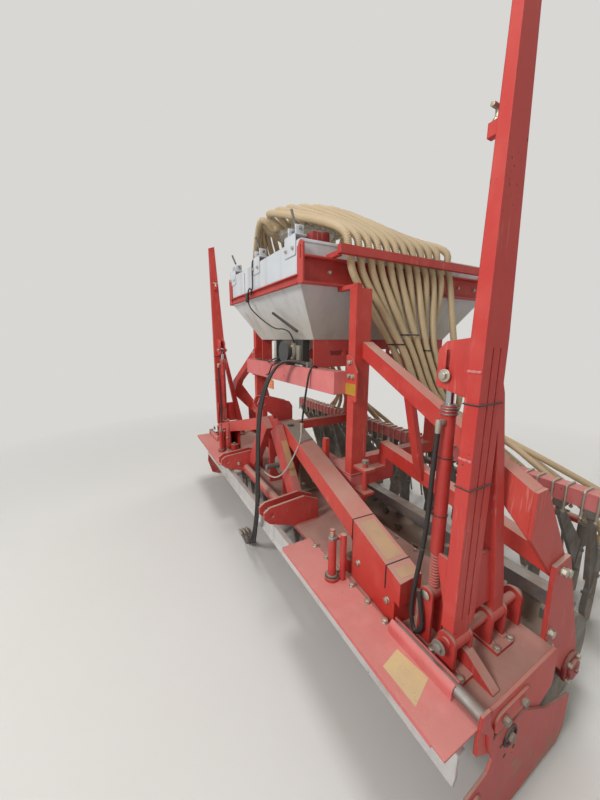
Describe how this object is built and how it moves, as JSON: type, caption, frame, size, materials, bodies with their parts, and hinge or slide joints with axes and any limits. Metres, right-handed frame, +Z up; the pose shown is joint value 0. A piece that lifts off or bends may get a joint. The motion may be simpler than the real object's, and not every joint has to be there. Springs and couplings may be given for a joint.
{
  "type": "mounted pneumatic seed drill on a power harrow",
  "caption": "Three metre mounted seed drill: power harrow, toothed roller, hopper with seed hoses, shoe coulters, and two track markers folded upright.",
  "frame": {"origin": "on the ground, under the middle of the outer box", "axes": "+X to the machine's right, +Y forward to the tractor, +Z up"},
  "size_m": [3, 1.864, 2.36],
  "materials": {
    "bare_steel": "bare, dull",
    "cast_housing": "painted casting, dusty",
    "dark_housing": "dark grey moulding",
    "faded_paint": "sun-bleached red paint",
    "grey_paint": "grey primer",
    "hose_plastic": "beige ribbed seed hose",
    "hose_rubber": "black rubber",
    "lid_grey": "grey cover",
    "pale_plastic": "off-white moulding",
    "pale_sheet": "pale grey-white sheet",
    "red_paint": "weathered red paint, chalky on top faces",
    "rod_chrome": "hard chrome",
    "worn_steel": "soil-polished steel"
  },
  "bodies": {
    "frame": {"trough": "red_paint", "end_plates": "red_paint", "side_deflectors": "faded_paint", "front_guards": "faded_paint", "deflector_tubes": "bare_steel", "levelling_bar": "grey_paint", "bar_adjusters": "red_paint", "headstock": "red_paint", "main_arms": "red_paint", "hitch_cheeks": "red_paint", "hitch_struts": "red_paint", "hitch_tube": "red_paint", "gearbox": "cast_housing", "posts": "red_paint", "cross_beams": "faded_paint", "truss_tops": "red_paint", "truss_lowers": "red_paint", "roller_frame": "red_paint", "scrapers": "bare_steel", "hopper_cradle": "red_paint", "hopper": "pale_sheet", "hopper_frame": "red_paint", "distributor": "pale_plastic", "metering_unit": "dark_housing", "seed_hoses_left": "hose_plastic", "seed_hoses_right": "hose_plastic", "coulter_frame": "red_paint", "coulters": "worn_steel", "tine_bar": "red_paint", "follow_tines": "worn_steel", "marker_brackets": "red_paint", "hose_block": "bare_steel", "hydraulic_hose_1": "hose_rubber", "hydraulic_hose_2": "hose_rubber", "hydraulic_hose_3": "hose_rubber", "hose_plug_1": "bare_steel", "hose_plug_2": "bare_steel", "hose_plug_3": "bare_steel"},
    "packer_roller": {"packer_roller": "worn_steel"},
    "pto_shaft": {"pto_shaft": "bare_steel"},
    "marker_left": {"marker_left": "red_paint"},
    "marker_right": {"marker_right": "red_paint"},
    "cylinder_left": {"cylinder_left": "red_paint"},
    "cylinder_right": {"cylinder_right": "red_paint"},
    "rod_left": {"rod_left": "rod_chrome"},
    "rod_right": {"rod_right": "rod_chrome"},
    "hopper_lid": {"hopper_lid": "lid_grey"},
    "rotor_1": {"rotor_1": "worn_steel"},
    "rotor_2": {"rotor_2": "worn_steel"},
    "rotor_3": {"rotor_3": "worn_steel"},
    "rotor_4": {"rotor_4": "worn_steel"},
    "rotor_5": {"rotor_5": "worn_steel"},
    "rotor_6": {"rotor_6": "worn_steel"},
    "rotor_7": {"rotor_7": "worn_steel"},
    "rotor_8": {"rotor_8": "worn_steel"},
    "rotor_9": {"rotor_9": "worn_steel"},
    "rotor_10": {"rotor_10": "worn_steel"}
  },
  "joints": [
    {"name": "rotor_1_spin", "type": "hinge", "parent": "frame", "child": "rotor_1", "pos_m": [-1.3275, 0.505, 0.3], "axis": [0, 0, 1], "continuous": true},
    {"name": "rotor_2_spin", "type": "hinge", "parent": "frame", "child": "rotor_2", "pos_m": [-1.0325, 0.505, 0.3], "axis": [0, 0, 1], "continuous": true},
    {"name": "rotor_3_spin", "type": "hinge", "parent": "frame", "child": "rotor_3", "pos_m": [-0.7375, 0.505, 0.3], "axis": [0, 0, 1], "continuous": true},
    {"name": "rotor_4_spin", "type": "hinge", "parent": "frame", "child": "rotor_4", "pos_m": [-0.4425, 0.505, 0.3], "axis": [0, 0, 1], "continuous": true},
    {"name": "rotor_5_spin", "type": "hinge", "parent": "frame", "child": "rotor_5", "pos_m": [-0.1475, 0.505, 0.3], "axis": [0, 0, 1], "continuous": true},
    {"name": "rotor_6_spin", "type": "hinge", "parent": "frame", "child": "rotor_6", "pos_m": [0.1475, 0.505, 0.3], "axis": [0, 0, 1], "continuous": true},
    {"name": "rotor_7_spin", "type": "hinge", "parent": "frame", "child": "rotor_7", "pos_m": [0.4425, 0.505, 0.3], "axis": [0, 0, 1], "continuous": true},
    {"name": "rotor_8_spin", "type": "hinge", "parent": "frame", "child": "rotor_8", "pos_m": [0.7375, 0.505, 0.3], "axis": [0, 0, 1], "continuous": true},
    {"name": "rotor_9_spin", "type": "hinge", "parent": "frame", "child": "rotor_9", "pos_m": [1.0325, 0.505, 0.3], "axis": [0, 0, 1], "continuous": true},
    {"name": "rotor_10_spin", "type": "hinge", "parent": "frame", "child": "rotor_10", "pos_m": [1.3275, 0.505, 0.3], "axis": [0, 0, 1], "continuous": true},
    {"name": "roller_spin", "type": "hinge", "parent": "frame", "child": "packer_roller", "pos_m": [0, 0.065, 0.24], "axis": [1, 0, 0], "continuous": true},
    {"name": "pto_spin", "type": "hinge", "parent": "frame", "child": "pto_shaft", "pos_m": [0, 0.705, 0.665], "axis": [0, 1, 0], "continuous": true},
    {"name": "marker_left_fold", "type": "hinge", "parent": "frame", "child": "marker_left", "pos_m": [-1.34, 0.505, 0.6], "axis": [0, -1, 0], "range_deg": [0, 100]},
    {"name": "cylinder_left_swing", "type": "hinge", "parent": "frame", "child": "cylinder_left", "pos_m": [-1.245, 0.655, 0.68], "axis": [0, -1, 0], "range_deg": [-1, 102]},
    {"name": "rod_left_slide", "type": "slide", "parent": "cylinder_left", "child": "rod_left", "axis": [0.0069, 0, 1], "range_m": [-0.001, 0.1912]},
    {"name": "marker_right_fold", "type": "hinge", "parent": "frame", "child": "marker_right", "pos_m": [1.34, 0.505, 0.6], "axis": [0, 1, 0], "range_deg": [0, 100]},
    {"name": "cylinder_right_swing", "type": "hinge", "parent": "frame", "child": "cylinder_right", "pos_m": [1.245, 0.655, 0.68], "axis": [0, 1, 0], "range_deg": [-1, 102]},
    {"name": "rod_right_slide", "type": "slide", "parent": "cylinder_right", "child": "rod_right", "axis": [-0.0069, 0, 1], "range_m": [-0.001, 0.1912]},
    {"name": "lid_hinge", "type": "hinge", "parent": "frame", "child": "hopper_lid", "pos_m": [0, -0.641, 1.949], "axis": [1, 0, 0], "range_deg": [0, 110]}
  ],
  "couplings": [
    {"joint": "rotor_2_spin", "follows": "rotor_1_spin", "ratio": -1},
    {"joint": "rotor_3_spin", "follows": "rotor_1_spin", "ratio": 1},
    {"joint": "rotor_4_spin", "follows": "rotor_1_spin", "ratio": -1},
    {"joint": "rotor_5_spin", "follows": "rotor_1_spin", "ratio": 1},
    {"joint": "rotor_6_spin", "follows": "rotor_1_spin", "ratio": -1},
    {"joint": "rotor_7_spin", "follows": "rotor_1_spin", "ratio": 1},
    {"joint": "rotor_8_spin", "follows": "rotor_1_spin", "ratio": -1},
    {"joint": "rotor_9_spin", "follows": "rotor_1_spin", "ratio": 1},
    {"joint": "rotor_10_spin", "follows": "rotor_1_spin", "ratio": -1},
    {"joint": "pto_spin", "follows": "rotor_1_spin", "ratio": 2.8},
    {"joint": "cylinder_left_swing", "follows": "marker_left_fold", "ratio": 0.9802},
    {"joint": "rod_left_slide", "follows": "marker_left_fold", "m_per_rad": 0.10784},
    {"joint": "cylinder_right_swing", "follows": "marker_right_fold", "ratio": 0.9802},
    {"joint": "rod_right_slide", "follows": "marker_right_fold", "m_per_rad": 0.10784}
  ]
}
